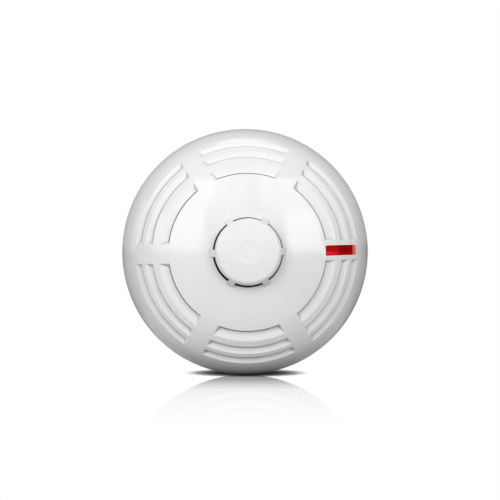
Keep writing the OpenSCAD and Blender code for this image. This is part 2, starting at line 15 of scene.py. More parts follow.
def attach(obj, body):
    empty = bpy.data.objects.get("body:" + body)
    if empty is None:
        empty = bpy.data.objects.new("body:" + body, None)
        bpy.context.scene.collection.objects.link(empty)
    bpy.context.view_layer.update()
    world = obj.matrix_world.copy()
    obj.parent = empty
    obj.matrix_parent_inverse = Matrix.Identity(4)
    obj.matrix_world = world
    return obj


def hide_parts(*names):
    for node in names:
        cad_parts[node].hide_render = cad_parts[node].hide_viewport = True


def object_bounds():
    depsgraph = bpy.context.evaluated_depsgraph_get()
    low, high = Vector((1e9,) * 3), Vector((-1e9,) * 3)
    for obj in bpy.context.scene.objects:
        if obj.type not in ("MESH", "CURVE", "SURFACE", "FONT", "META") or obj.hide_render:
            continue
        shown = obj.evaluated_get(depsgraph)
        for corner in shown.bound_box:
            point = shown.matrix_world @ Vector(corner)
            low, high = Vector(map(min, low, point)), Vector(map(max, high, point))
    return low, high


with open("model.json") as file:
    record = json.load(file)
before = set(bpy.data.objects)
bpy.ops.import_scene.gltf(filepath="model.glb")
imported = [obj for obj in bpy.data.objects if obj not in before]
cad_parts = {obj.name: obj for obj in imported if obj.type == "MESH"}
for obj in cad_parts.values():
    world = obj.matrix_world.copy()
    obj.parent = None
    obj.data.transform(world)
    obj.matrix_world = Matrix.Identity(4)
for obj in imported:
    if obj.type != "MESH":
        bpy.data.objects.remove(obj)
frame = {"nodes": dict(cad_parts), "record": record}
CAD_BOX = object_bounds()
NODES = frame["nodes"]
RECORD = frame["record"]
MM = 0.001

# Lathe space: x and y across the detector, z up its axis from the mounting face, all in millimetres.
# The frame has that axis along -Y.
TO_FRAME = Matrix.Rotation(math.radians(90), 4, "X") @ Matrix.Scale(MM, 4)

# ---- Driving dimensions of the shells, in millimetres ----
RIM_R = 54.0
RIM_H = 11.65
COVER_WALL = 2.2
BREAK_R = [0, 30, 46, 50, RIM_R]
BREAK_SLOPE = [math.radians(s) for s in (0, 19, 46, 67, 86)]

SPOKES = 6
SPOKE_HALF = 4.15
SPOKE_DRAFT = math.tan(math.radians(25))
# Each louvre: radius of its step, width of its ledge, width of the slit or groove at its foot
LOUVRES = [(33.6, 4.3, 0.3), (40.6, 3.0, 0.3), (45.3, 2.5, 0.3)]
GROOVE_DEPTH = 0.5
LEDGE_SLOPE = math.radians(4)
LOUVRE_WALL = 1.0
WALL_GROWS = (30.5, 33, 47.5, 50)

HOLE_R = 14.85
CAP_R = 14.25
CAP_RISE = 4.5
CAP_EDGE = 3.2
CAP_ROUND = 2.3
CAP_CROWN_R = 120
CAP_HOLLOW = 1.4  # how far the underside is hollowed
CAP_LIP = 0.3  # rounding of the cap's lower edge
DIMPLE_R = 4.2  # faint dip in the middle of the cap
DIMPLE_DEPTH = 0.04
CAP_SHIFT = (0.12, 0.25)  # the cap has a little play in its hole and sits up and to the right
LEG_HALF = 1.55
LEG_R = 16.2
NOTCH_GAP = 0.04

LENS_IN = 33.4
LENS_OUT = 47.2
LENS_HALF = 2.2
LENS_PROUD = 0.25
LENS_BLADE = 2.4  # how deep the bar goes below the cover's surface
LENS_STEM = (38.6, 41.4)  # from and to radius of the stem over the LED
LENS_STEM_FOOT = 6.1  # height of the stem's foot above the board
LENS_GAP = -0.06  # the window grips the lens: its edge reaches this far over it
WINDOW_RIM_W = 0.5
WINDOW_RIM_PROUD = 0.15

POST_R = 38
POST_ANGLES = [60, 180, 300]
BOARD_TOP = 16.6
POST_OUTER_R = 3
POST_HOLE_R = 1.52
POST_HOLE_END = 27

SOFT_ANGLE = math.radians(32)  # edges sharper than this stay crisp under smooth shading


# ---- Outline of the dome: four arcs that meet with a common slope ----
def arc_radius(i):
    return (BREAK_R[i + 1] - BREAK_R[i]) / (math.sin(BREAK_SLOPE[i + 1]) - math.sin(BREAK_SLOPE[i]))


def arc_drop(i, slope):
    return arc_radius(i) * (math.cos(BREAK_SLOPE[i]) - math.cos(slope))


FULL_DROPS = [arc_drop(i, BREAK_SLOPE[i + 1]) for i in range(4)]
APEX_H = RIM_H + sum(FULL_DROPS)


def slope_at(r):
    i = max(k for k in range(4) if r >= BREAK_R[k])
    return math.asin(math.sin(BREAK_SLOPE[i]) + (r - BREAK_R[i]) / arc_radius(i))


def dome_at_slope(slope):
    """Radius and height of the dome where it has this slope."""
    i = max(k for k in range(4) if slope >= BREAK_SLOPE[k])
    r = BREAK_R[i] + arc_radius(i) * (math.sin(slope) - math.sin(BREAK_SLOPE[i]))
    return r, APEX_H - sum(FULL_DROPS[:i]) - arc_drop(i, slope)


def dome_h(r):
    return dome_at_slope(slope_at(r))[1]


def wall_at(r):
    """Thickness of the cover, which is greater under the louvres."""
    a, b, c, d = WALL_GROWS
    return COVER_WALL + LOUVRE_WALL * max(0.0, min(1.0, (r - a) / (b - a), (d - r) / (d - c)))


def inner_at_slope(slope):
    r, h = dome_at_slope(slope)
    return r - wall_at(r) * math.sin(slope), h - wall_at(r) * math.cos(slope)


def inner_slope(r):
    """Slope of the inner surface where it has radius r, found by halving."""
    low, high = 0.0, BREAK_SLOPE[-1]
    for _ in range(40):
        middle = (low + high) / 2
        if inner_at_slope(middle)[0] < r:
            low = middle
        else:
            high = middle
    return (low + high) / 2


# ---- Mesh helpers ----
def finish_mesh(bm, name, soft=SOFT_ANGLE, merge=1e-4):
    """Turns a bmesh in lathe space into an object in the frame, smooth except along its sharp edges."""
    bmesh.ops.remove_doubles(bm, verts=bm.verts, dist=merge)
    bmesh.ops.dissolve_degenerate(bm, edges=bm.edges, dist=merge)
    bmesh.ops.recalc_face_normals(bm, faces=bm.faces)
    for face in bm.faces:
        face.smooth = True
    for edge in bm.edges:
        if len(edge.link_faces) == 2:
            edge.smooth = edge.calc_face_angle() < soft
    mesh = bpy.data.meshes.new(name)
    bm.to_mesh(mesh)
    bm.free()
    mesh.transform(TO_FRAME)
    piece = bpy.data.objects.new(name, mesh)
    bpy.context.scene.collection.objects.link(piece)
    weights = piece.modifiers.new("weighted normals", "WEIGHTED_NORMAL")
    weights.keep_sharp = True
    return piece


def arc(centre_r, centre_h, radius, start, end, count):
    """Points of an arc in a radial section; angles in degrees from outwards, towards up."""
    angles = [math.radians(start + (end - start) * k / count) for k in range(count + 1)]
    return [(centre_r + radius * math.cos(a), centre_h + radius * math.sin(a)) for a in angles]


def add_lathe(bm, section, count=144, angle=0.0):
    """Spins a closed radial section about the axis; points on the axis become poles."""
    rings = []
    for r, h in section:
        if r < 1e-6:
            rings.append([bm.verts.new((0, 0, h))])
            continue
        turns = [angle + 2 * math.pi * k / count for k in range(count)]
        rings.append([bm.verts.new((r * math.cos(a), r * math.sin(a), h)) for a in turns])
    for i, ring in enumerate(rings):
        after = rings[(i + 1) % len(rings)]
        if len(ring) == 1 and len(after) == 1:
            continue
        for k in range(count):
            m = (k + 1) % count
            corners = [ring[k % len(ring)], ring[m % len(ring)], after[m % len(after)], after[k % len(after)]]
            bm.faces.new(list(dict.fromkeys(corners)))


def add_slab(bm, section, half_width, angle, bevel=0.0, segments=2):
    """A radial section given a width across the radius, with rounded edges, turned to an angle in degrees."""
    part = bmesh.new()
    sides = []
    for y in (-half_width, half_width):
        sides.append([part.verts.new((r, y, h)) for r, h in section])
    part.faces.new(sides[0])
    part.faces.new(list(reversed(sides[1])))
    for k in range(len(section)):
        m = (k + 1) % len(section)
        part.faces.new([sides[0][k], sides[1][k], sides[1][m], sides[0][m]])
    bmesh.ops.recalc_face_normals(part, faces=part.faces)
    if bevel:
        edges = [e for e in part.edges if e.calc_face_angle() > SOFT_ANGLE]
        bmesh.ops.bevel(
            part, geom=edges, offset=bevel, segments=segments, profile=0.5, affect="EDGES", clamp_overlap=True
        )
    part.transform(Matrix.Rotation(math.radians(angle), 4, "Z"))
    scratch = bpy.data.meshes.new("scratch")
    part.to_mesh(scratch)
    part.free()
    bm.from_mesh(scratch)
    bpy.data.meshes.remove(scratch)


# ---- Outer cover ----
# A grid of columns and rows. Each cell is plastic up to a groove, a ledge or the dome, or it is air.
LIP = 0.22  # rounding of the edge above each slit or groove
LEDGE_LIP = 0.12
SPOKE_LIP = 0.22
HOLE_LIP = 0.15
RIM_LIP = 0.5
AIR, GROOVE, LEDGE, TOP = range(4)  # how high the plastic goes in a cell
CORNERS = [(0.021, 0.45), (0.007, 0.8)]  # share of the gap and of the ledge's width that the groove takes
QUARTER = [math.radians(a) for a in (0, 22.5, 45, 67.5, 90)]
BEAD = (0, 0.15, 0.4, 0.75, 1)  # places across the window's rim, as shares of its width


def fillet_drop(distance, radius):
    """How far a rounded edge falls below the flat, at this distance in from the edge."""
    if distance >= radius or radius <= 0:
        return 0.0
    return radius - math.sqrt(radius**2 - (radius - distance) ** 2)


def cover_rows():
    """Radii of the rows from the hole to the outer louvre, with extra rows at each rounded edge."""
    rows = [HOLE_R + HOLE_LIP * (1 - math.cos(a)) for a in QUARTER]
    rows += [LEG_R + NOTCH_GAP, 17.5, 19, 21, 23, 25, 27, 29, 31, 32.2]
    for k, (step, ledge, foot) in enumerate(LOUVRES):
        end = step + ledge
        rows += [step - LIP + LIP * math.sin(a) for a in QUARTER]
        rows += [step + foot + LEDGE_LIP * (1 - math.cos(a)) for a in QUARTER[::2]]
        rows += [step + foot + (ledge - foot) * f for f in (0.2, 0.4, 0.6, 0.8, 1)]
        if k + 1 < len(LOUVRES):
            after = LOUVRES[k + 1][0] - LIP
            rows += [end + (after - end) * f for f in (0.15, 0.5, 0.8)]
    rows += [LENS_IN - LENS_GAP - WINDOW_RIM_W * f for f in BEAD]
    rows += [LENS_OUT + LENS_GAP + WINDOW_RIM_W * f for f in BEAD]
    rows.append(max(rows) + 0.4)
    return sorted(set(round(r, 5) for r in rows))


def louvre_level(r_low, r_high, from_spoke):
    """How high the plastic goes in a cell between two radii, between the spokes.

    A groove runs outwards from each slit along the foot of the spokes, and narrows as it goes.
    """
    middle = (r_low + r_high) / 2
    for k, (step, ledge, foot) in enumerate(LOUVRES):
        if step < middle < step + foot:
            return GROOVE if k else AIR
        if step + foot < middle < step + ledge:
            along = (middle - step) / ledge
            in_corner = any(from_spoke < share and along < reach for share, reach in CORNERS)
            return GROOVE if in_corner else LEDGE
    return TOP


def ledge_h(r):
    """Height of the ledge at radius r, or None where there is none."""
    for step, ledge, foot in LOUVRES:
        end = step + ledge
        if step - 1e-4 <= r <= end + 1e-4:
            lip = fillet_drop(max(r - step - foot, 0), LEDGE_LIP)
            return min(dome_h(end) + (end - r) * math.tan(LEDGE_SLOPE) - lip, dome_h(r))
    return None


def cover_columns():
    """Columns once round: (spoke, offset across it, None) or (spoke, None, share of the gap after it)."""
    edge = [SPOKE_HALF - SPOKE_LIP * (1 - math.sin(a)) for a in QUARTER]
    window = [LENS_HALF + LENS_GAP + WINDOW_RIM_W * f for f in BEAD]
    half = [0.8, LEG_HALF + NOTCH_GAP] + window + [3.4] + edge
    offsets = [-x for x in reversed(half)] + [0] + half
    near = [0.006, 0.02, 0.04]
    shares = near + [k / 18 for k in range(1, 18)] + [1 - s for s in reversed(near)]
    columns = []
    for k in range(SPOKES):
        columns += [(k, x, None) for x in offsets]
        columns += [(k, None, t) for t in shares]
    return columns


def column_angle(column, r, spread=0.0):
    """Angle of a column; spread is how much further out the side of the spoke is at this depth."""
    k, offset, share = column
    start = k * 2 * math.pi / SPOKES
    if offset is not None:
        if abs(offset) > SPOKE_HALF - 1e-6:
            offset += math.copysign(spread, offset)
        return start + math.asin(offset / r)
    edge = math.asin((SPOKE_HALF + spread) / r)
    return start + edge + share * (2 * math.pi / SPOKES - 2 * edge)


def window_rim(column, r):
    """Height of the rounded rim round the window, at a place on the first spoke."""
    k, offset, _ = column
    if k or offset is None:
        return 0.0
    out = max(abs(offset) - LENS_HALF, LENS_IN - r, r - LENS_OUT) - LENS_GAP
    across = min(max(out / WINDOW_RIM_W, 0.0), 1.0)
    return WINDOW_RIM_PROUD * math.sqrt(max(0.0, 1 - (2 * across - 1) ** 2))


def top_height(column, r):
    """Height of the cover's outer surface, with the rounding of each edge taken off."""
    h = dome_h(r) + window_rim(column, r)
    if r < HOLE_R + HOLE_LIP:
        h -= fillet_drop(r - HOLE_R, HOLE_LIP)
    _, offset, share = column
    if share is not None:
        blend = min(1.0, min(share, 1 - share) / 0.02)
        for step, _, _ in LOUVRES:
            if step - LIP < r <= step + 1e-4:
                h -= blend * fillet_drop(step - r, LIP)
        return h
    ledge = ledge_h(r)
    if ledge is not None and abs(offset) > SPOKE_HALF - SPOKE_LIP - 1e-6:
        depth = max(0.0, dome_h(r) - ledge)
        h -= fillet_drop(SPOKE_HALF - abs(offset), min(SPOKE_LIP, 0.45 * depth))
    return h


def build_cover():
    rows = cover_rows()
    columns = cover_columns()
    count = len(columns)
    bm = bmesh.new()
    verts = {}

    def vert(c, i, level):
        key = (c % count, i, level)
        if key not in verts:
            column, r = columns[c % count], rows[i]
            top = top_height(column, r)
            base = inner_at_slope(inner_slope(r))[1]
            ledge = ledge_h(r)
            spread = 0.0
            if ledge is None:
                ledge = (top + base) / 2
            elif level != TOP:
                spread = SPOKE_DRAFT * max(0.0, dome_h(r) - ledge)
            h = (base, ledge - GROOVE_DEPTH, ledge, top)[level]
            a = column_angle(column, r, spread)
            verts[key] = bm.verts.new((r * math.cos(a), r * math.sin(a), h))
        return verts[key]

    def level_of(c, i):
        """How high the plastic goes in a cell."""
        if i < 0 or i >= len(rows) - 1:
            return TOP if i >= 0 else AIR
        left, right = columns[c % count], columns[(c + 1) % count]
        shares = [min(column[2], 1 - column[2]) for column in (left, right) if column[2] is not None]
        if shares:
            return louvre_level(rows[i], rows[i + 1], max(shares))
        middle, r = abs(left[1] + right[1]) / 2, (rows[i] + rows[i + 1]) / 2
        in_notch = middle < LEG_HALF + NOTCH_GAP and r < LEG_R + NOTCH_GAP
        in_window = left[0] == 0 and middle < LENS_HALF + LENS_GAP
        in_window = in_window and LENS_IN - LENS_GAP < r < LENS_OUT + LENS_GAP
        return AIR if in_notch or in_window else TOP

    for c in range(count):
        for i in range(len(rows) - 1):
            level = level_of(c, i)
            if level == AIR:
                continue
            for surface in (level, AIR):
                corners = [(c, i), (c + 1, i), (c + 1, i + 1), (c, i + 1)]
                bm.faces.new([vert(*corner, surface) for corner in corners])
            sides = [
                (level_of(c, i - 1), (c, i), (c + 1, i)),
                (level_of(c, i + 1), (c, i + 1), (c + 1, i + 1)),
                (level_of(c - 1, i), (c, i), (c, i + 1)),
                (level_of(c + 1, i), (c + 1, i), (c + 1, i + 1)),
            ]
            for beside, start, end in sides:
                for low in range(beside, level):
                    corners = [vert(*start, low), vert(*end, low), vert(*end, low + 1), vert(*start, low + 1)]
                    bm.faces.new(corners)

    # Skirt: the rows go on down the outside, round the rim and up the inside
    last = rows[-1]
    start_out, start_in = slope_at(last), inner_slope(last)
    steps = 16
    section = []
    for k in range(1, steps + 1):
        section.append(dome_at_slope(start_out + (BREAK_SLOPE[-1] - start_out) * k / steps))
    section = [p for p in section if p[1] > RIM_H + RIM_LIP + 0.2]
    section += arc(RIM_R - RIM_LIP, RIM_H + RIM_LIP, RIM_LIP, 0, -90, 4)
    inner = [inner_at_slope(start_in + (BREAK_SLOPE[-1] - start_in) * k / steps) for k in range(1, steps + 1)]
    section += arc(inner[-1][0] + RIM_LIP / 2, RIM_H + RIM_LIP / 2, RIM_LIP / 2, -90, -180, 3)
    section += [p for p in reversed(inner) if p[1] > RIM_H + RIM_LIP]
    end = len(rows) - 1
    for c in range(count):
        ring = [[vert(k, end, TOP)] for k in (c, c + 1)]
        for side, k in zip(ring, (c, c + 1)):
            for j, (r, h) in enumerate(section):
                key = (k % count, "skirt", j)
                if key not in verts:
                    a = column_angle(columns[k % count], last)
                    verts[key] = bm.verts.new((r * math.cos(a), r * math.sin(a), h))
                side.append(verts[key])
            side.append(vert(k, end, AIR))
        for j in range(len(ring[0]) - 1):
            bm.faces.new([ring[0][j], ring[1][j], ring[1][j + 1], ring[0][j + 1]])

    # Posts for the three screws, inside the dome
    for a in POST_ANGLES:
        top = dome_h(POST_R + POST_OUTER_R) - COVER_WALL * 1.2
        section = [(POST_HOLE_R, BOARD_TOP), (POST_OUTER_R, BOARD_TOP), (POST_OUTER_R, top), (0, top)]
        section += [(0, POST_HOLE_END), (POST_HOLE_R, POST_HOLE_END)]
        post = bmesh.new()
        add_lathe(post, section, 32)
        post.transform(Matrix.Rotation(math.radians(a), 4, "Z") @ Matrix.Translation((POST_R, 0, 0)))
        scratch = bpy.data.meshes.new("scratch")
        post.to_mesh(scratch)
        post.free()
        bm.from_mesh(scratch)
        bpy.data.meshes.remove(scratch)
    return finish_mesh(bm, "cover_shell")


# ---- Cap over the sensing element ----
def build_cap():
    top = APEX_H + CAP_RISE
    flat_r = CAP_R - CAP_ROUND
    crown_drop = CAP_CROWN_R - math.sqrt(CAP_CROWN_R**2 - flat_r**2)
    edge_top = top - crown_drop
    under = edge_top - CAP_EDGE

    def crown(r):
        return top - CAP_CROWN_R + math.sqrt(CAP_CROWN_R**2 - r**2)

    section = [(0, under + CAP_HOLLOW), (CAP_R - 2.6, under + CAP_HOLLOW), (CAP_R - 2.2, under)]
    section += arc(CAP_R - CAP_LIP, under + CAP_LIP, CAP_LIP, -90, 0, 3)
    section += arc(flat_r, edge_top - CAP_ROUND, CAP_ROUND, 0, 88, 14)
    section += [(r, crown(r)) for r in (11, 10, 8.5, 7, 5.5)]
    edge, depth = crown(DIMPLE_R), DIMPLE_DEPTH
    section += [(DIMPLE_R + 0.15, edge), (DIMPLE_R, edge - depth * 0.6), (DIMPLE_R - 0.2, edge - depth)]
    section += [(2, crown(2) - depth), (0, crown(0) - depth)]
    bm = bmesh.new()
    add_lathe(bm, section)
    bm.transform(Matrix.Translation((*CAP_SHIFT, 0)))
    hook = dome_h(LEG_R) - COVER_WALL / math.cos(slope_at(LEG_R)) - 1.4
    leg = [
        (CAP_R - 2, under + 0.6),
        (CAP_R - 1, edge_top - 0.6),
        (LEG_R, dome_h(LEG_R) - 0.2),
        (LEG_R, hook + 1),
        (LEG_R + 1, hook + 1),
        (LEG_R + 0.4, hook),
        (CAP_R - 0.8, hook),
        (CAP_R - 0.8, under - 1.2),
    ]
    for k in range(SPOKES):
        add_slab(bm, leg, LEG_HALF, k * 360 / SPOKES, bevel=0.18)
    return finish_mesh(bm, "cap_shell")


# ---- Indicator ----
def build_lens():
    count = 20
    radii = [LENS_IN + (LENS_OUT - LENS_IN) * k / count for k in range(count + 1)]
    foot = BOARD_TOP + LENS_STEM_FOOT
    section = [(r, dome_h(r) + LENS_PROUD) for r in radii]
    for r in (LENS_OUT, LENS_STEM[1]):
        section.append((r, dome_h(r) - LENS_BLADE))
    section += [(LENS_STEM[1], foot), (LENS_STEM[0], foot)]
    for r in (LENS_STEM[0], LENS_IN):
        section.append((r, dome_h(r) - LENS_BLADE))
    bm = bmesh.new()
    add_slab(bm, section, LENS_HALF, 0, bevel=0.3, segments=3)
    return finish_mesh(bm, "indicator_lens")


# ---- Materials ----
# Painted light and shade on the light pipe: its brightness along it from its inner end, and across it from
# below;
# its reds from dark to bright; and a painted pale-red highlight over its outer end
LENS_PAINTED_LIGHT = [(0, 0.5), (0.04, 0.9), (0.3, 0.95), (0.4, 0.8), (0.5, 0.58), (0.7, 0.57), (1.0, 0.66)]
LENS_PAINTED_SHADE = [
    (0, 0.5),
    (0.1, 0.85),
    (0.17, 1.0),
    (0.3, 1.0),
    (0.45, 0.72),
    (0.85, 0.64),
    (0.93, 0.5),
    (1.0, 0.3),
]
LENS_REDS = [
    (0.0, (0.05, 0, 0)),
    (0.5, (0.4, 0.001, 0.002)),
    (0.7, (0.62, 0.003, 0.004)),
    (1.0, (0.94, 0.035, 0.04)),
]
LENS_PAINTED_HIGHLIGHT = [(0.88, (1.0, 0.09, 0.1)), (0.94, (1.0, 0.17, 0.19)), (1.0, (0.93, 0.45, 0.48))]


class Nodes:
    """A short way to write a node tree: each call makes one node and sets its inputs."""

    def __init__(self, name):
        self.material = bpy.data.materials.new(name)
        self.material.use_nodes = True
        self.tree = self.material.node_tree
        self.tree.nodes.clear()
        self.output = self.tree.nodes.new("ShaderNodeOutputMaterial")

    def add(self, kind, inputs=None, **settings):
        node = self.tree.nodes.new("ShaderNode" + kind)
        for key, value in settings.items():
            setattr(node, key, value)
        for key, value in (inputs or {}).items():
            socket = node.inputs[key]
            if isinstance(value, bpy.types.NodeSocket):
                self.tree.links.new(value, socket)
            else:
                socket.default_value = value
        return node

    def ramp(self, factor, stops):
        node = self.add("ValToRGB", {0: factor})
        while len(node.color_ramp.elements) < len(stops):
            node.color_ramp.elements.new(0.5)
        for element, (place, shade) in zip(node.color_ramp.elements, stops):
            element.position = place
            element.color = (*shade, 1) if isinstance(shade, tuple) else (shade, shade, shade, 1)
        return node.outputs["Color"]

    def finish(self, shader):
        self.tree.links.new(shader.outputs[0], self.output.inputs["Surface"])
        return self.material


def window_frame(n, place):
    """Mask for the painted highlight: 1 on the rim round the indicator's window and 0 elsewhere."""
    split = n.add("SeparateXYZ", {0: place})
    along = n.add("Math", {0: split.outputs["X"], 1: (LENS_IN + LENS_OUT) / 2 * MM}, operation="SUBTRACT")
    out_of = []
    for value, half in ((along.outputs[0], (LENS_OUT - LENS_IN) / 2), (split.outputs["Z"], LENS_HALF)):
        size = n.add("Math", {0: value}, operation="ABSOLUTE")
        out_of.append(n.add("Math", {0: size.outputs[0], 1: half * MM}, operation="SUBTRACT").outputs[0])
    away = n.add("Math", {0: out_of[0], 1: out_of[1]}, operation="MAXIMUM")
    return n.add("Math", {0: away.outputs[0], 1: WINDOW_RIM_W * MM}, operation="LESS_THAN").outputs[0]


def moulded_plastic(name, light, dark, roughness, bump=0.03, window_highlight_colour=None):
    """Moulded plastic: faint flow in the colour, fine grain and slow waves in the gloss, and, if a highlight
    colour is given, a painted highlight on the rim round the indicator's window.
    """
    n = Nodes(name)
    place = n.add("TexCoord").outputs["Object"]
    flow = n.add("TexNoise", {"Vector": place, "Scale": 28.0, "Detail": 3.0, "Roughness": 0.5})
    colour = n.ramp(flow.outputs["Fac"], [(0.35, dark), (0.65, light)])
    # painted highlight: the rim round the window is painted whiter and faintly pink
    if window_highlight_colour:
        colour = n.add("MixRGB", {0: window_frame(n, place), 1: colour, 2: window_highlight_colour}).outputs[0]
    rough = n.add("TexNoise", {"Vector": place, "Scale": 90.0, "Detail": 4.0})
    gloss = n.ramp(rough.outputs["Fac"], [(0.3, roughness * 0.9), (0.7, roughness * 1.12)])
    fine = n.add("TexNoise", {"Vector": place, "Scale": 2600.0, "Detail": 2.0})
    slow = n.add("TexNoise", {"Vector": place, "Scale": 60.0, "Detail": 1.0})
    waves = n.add("Bump", {"Strength": 0.05, "Distance": 0.0006, "Height": slow.outputs["Fac"]})
    texture = n.add(
        "Bump",
        {
            "Strength": bump,
            "Distance": 0.0001,
            "Height": fine.outputs["Fac"],
            "Normal": waves.outputs["Normal"],
        },
    )
    shader = n.add(
        "BsdfPrincipled",
        {
            "Base Color": colour,
            "Roughness": gloss,
            "IOR": 1.5,
            "Normal": texture.outputs["Normal"],
        },
    )
    return n.finish(shader)


def clear_red():
    """Red light-pipe plastic with painted light and shade: bright over its inner end, deep over the stem, and
    a painted pale highlight over its outer end.
    """
    n = Nodes("red plastic with painted light")
    place = n.add("TexCoord").outputs["Object"]
    split = n.add("SeparateXYZ", {0: place})
    along = n.add(
        "MapRange", {"Value": split.outputs["X"], "From Min": LENS_IN * MM, "From Max": LENS_OUT * MM}
    )
    # painted light along the bar: brighter over its inner end, darker in the middle
    glow = n.ramp(along.outputs["Result"], LENS_PAINTED_LIGHT)
    half = LENS_HALF * MM
    across = n.add("MapRange", {"Value": split.outputs["Z"], "From Min": -half, "From Max": half})
    # painted shade across the bar: brightest a little above its lower edge, darker towards its top
    sides = n.ramp(across.outputs["Result"], LENS_PAINTED_SHADE)
    flow = n.add("TexNoise", {"Vector": place, "Scale": 320.0, "Detail": 2.0})
    uneven = n.add("MapRange", {"Value": flow.outputs["Fac"], "To Min": 0.8, "To Max": 1.2})
    lit = n.add("Math", {0: glow, 1: sides}, operation="MULTIPLY")
    light = n.add("Math", {0: lit.outputs[0], 1: uneven.outputs["Result"]}, operation="MULTIPLY")
    deep = n.ramp(light.outputs[0], LENS_REDS)
    # painted highlight: a pale pink glint at the bar's outer end
    pale = n.ramp(along.outputs["Result"], LENS_PAINTED_HIGHLIGHT)
    at_end = n.ramp(along.outputs["Result"], [(0.86, 0), (0.88, 1)])
    colour = n.add("MixRGB", {0: at_end, 1: deep, 2: pale}).outputs[0]
    fine = n.add("TexNoise", {"Vector": place, "Scale": 900.0, "Detail": 1.0})
    bump = n.add("Bump", {"Strength": 0.04, "Distance": 0.0001, "Height": fine.outputs["Fac"]})
    shader = n.add(
        "BsdfPrincipled",
        {
            "Base Color": colour,
            "Roughness": 0.12,
            "IOR": 1.49,
            "Specular IOR Level": 0.25,
            "Transmission Weight": 0.1,
            "Normal": bump.outputs["Normal"],
        },
    )
    return n.finish(shader)


def plated_metal(name, colour, roughness, scratch=500.0):
    """Plated or bright metal: brushed along one way, with uneven gloss."""
    n = Nodes(name)
    place = n.add("TexCoord").outputs["Object"]
    stretched = n.add("Mapping", {"Vector": place, "Scale": (1.0, 1.0, 14.0)})
    lines = n.add("TexNoise", {"Vector": stretched.outputs["Vector"], "Scale": scratch, "Detail": 3.0})
    dark = tuple(c * 0.86 for c in colour)
    tint = n.ramp(lines.outputs["Fac"], [(0.3, dark), (0.7, colour)])
    gloss = n.ramp(lines.outputs["Fac"], [(0.3, roughness * 0.75), (0.7, roughness * 1.3)])
    bump = n.add("Bump", {"Strength": 0.08, "Distance": 0.0001, "Height": lines.outputs["Fac"]})
    shader = n.add(
        "BsdfPrincipled",
        {"Base Color": tint, "Metallic": 1.0, "Roughness": gloss, "Normal": bump.outputs["Normal"]},
    )
    return n.finish(shader)


def solder_resist():
    """Green board: copper tracks show as lighter lines under the resist."""
    n = Nodes("green solder resist")
    place = n.add("TexCoord").outputs["Object"]
    cells = n.add("TexVoronoi", {"Vector": place, "Scale": 420.0}, feature="DISTANCE_TO_EDGE")
    tracks = n.ramp(cells.outputs["Distance"], [(0.03, (0.07, 0.2, 0.12)), (0.06, (0.02, 0.09, 0.045))])
    bump = n.add("Bump", {"Strength": 0.15, "Distance": 0.0001, "Height": tracks})
    shader = n.add(
        "BsdfPrincipled", {"Base Color": tracks, "Roughness": 0.3, "Normal": bump.outputs["Normal"]}
    )
    return n.finish(shader)


WINDOW_PAINTED_HIGHLIGHT = (1.0, 0.96, 0.96, 1)  # painted highlight: the rim round the light pipe is painted whiter, faintly pink, than the cover
MATERIALS = {
    "cover_plastic": moulded_plastic(
        "glossy white plastic", (0.87, 0.87, 0.868), (0.85, 0.85, 0.846), 0.13, window_highlight_colour=WINDOW_PAINTED_HIGHLIGHT
    ),
    "base_plastic": moulded_plastic("satin white plastic", (0.83, 0.83, 0.82), (0.8, 0.8, 0.79), 0.38, 0.12),
    "red_lens": clear_red(),
    "nickel_contacts": plated_metal("nickel plate", (0.72, 0.7, 0.66), 0.28),
    "zinc_screws": plated_metal("bright zinc plate", (0.62, 0.64, 0.67), 0.32),
    "board_laminate": solder_resist(),
    "black_plastic": moulded_plastic(
        "matte black plastic", (0.03, 0.03, 0.032), (0.02, 0.02, 0.021), 0.5, 0.2
    ),
    "black_resin": moulded_plastic(
        "black moulding resin", (0.035, 0.035, 0.036), (0.02, 0.02, 0.021), 0.55, 0.25
    ),
    "tinned_wire": plated_metal("tinned copper", (0.7, 0.7, 0.68), 0.35),
    "capacitor_cans": plated_metal("aluminium can", (0.7, 0.71, 0.73), 0.3),
    "ceramic_tan": moulded_plastic("tan ceramic", (0.5, 0.37, 0.22), (0.42, 0.3, 0.17), 0.45, 0.1),
}
NODE_SLOTS = {part["node"]: part["material_slot"] for part in RECORD["subparts"]}


def dress_cad_nodes():
    """Gives every CAD node the material of its slot."""
    for name, node in NODES.items():
        material = MATERIALS[NODE_SLOTS[name]]
        if not node.data.materials:
            node.data.materials.append(material)
        for k in range(len(node.data.materials)):
            node.data.materials[k] = material


def dress_piece(piece, slot, body, *replaced):
    """Gives a shell its material, its body and the CAD nodes that it stands in for."""
    piece.data.materials.append(MATERIALS[slot])
    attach(piece, body)
    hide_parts(*replaced)


dress_cad_nodes()
dress_piece(build_cover(), "cover_plastic", "head", "outer_cover")
dress_piece(build_cap(), "cover_plastic", "head", "sensor_cap")
dress_piece(build_lens(), "red_lens", "head", "light_pipe")


# ---- Studio ----
LOW, HIGH = CAD_BOX
CENTRE = Vector(((LOW.x + HIGH.x) / 2, -RIM_H * MM, (LOW.z + HIGH.z) / 2))
STUDIO_TURN = Matrix.Rotation(math.radians(1.3), 4, "Y")  # the detector stands a little turned about its axis

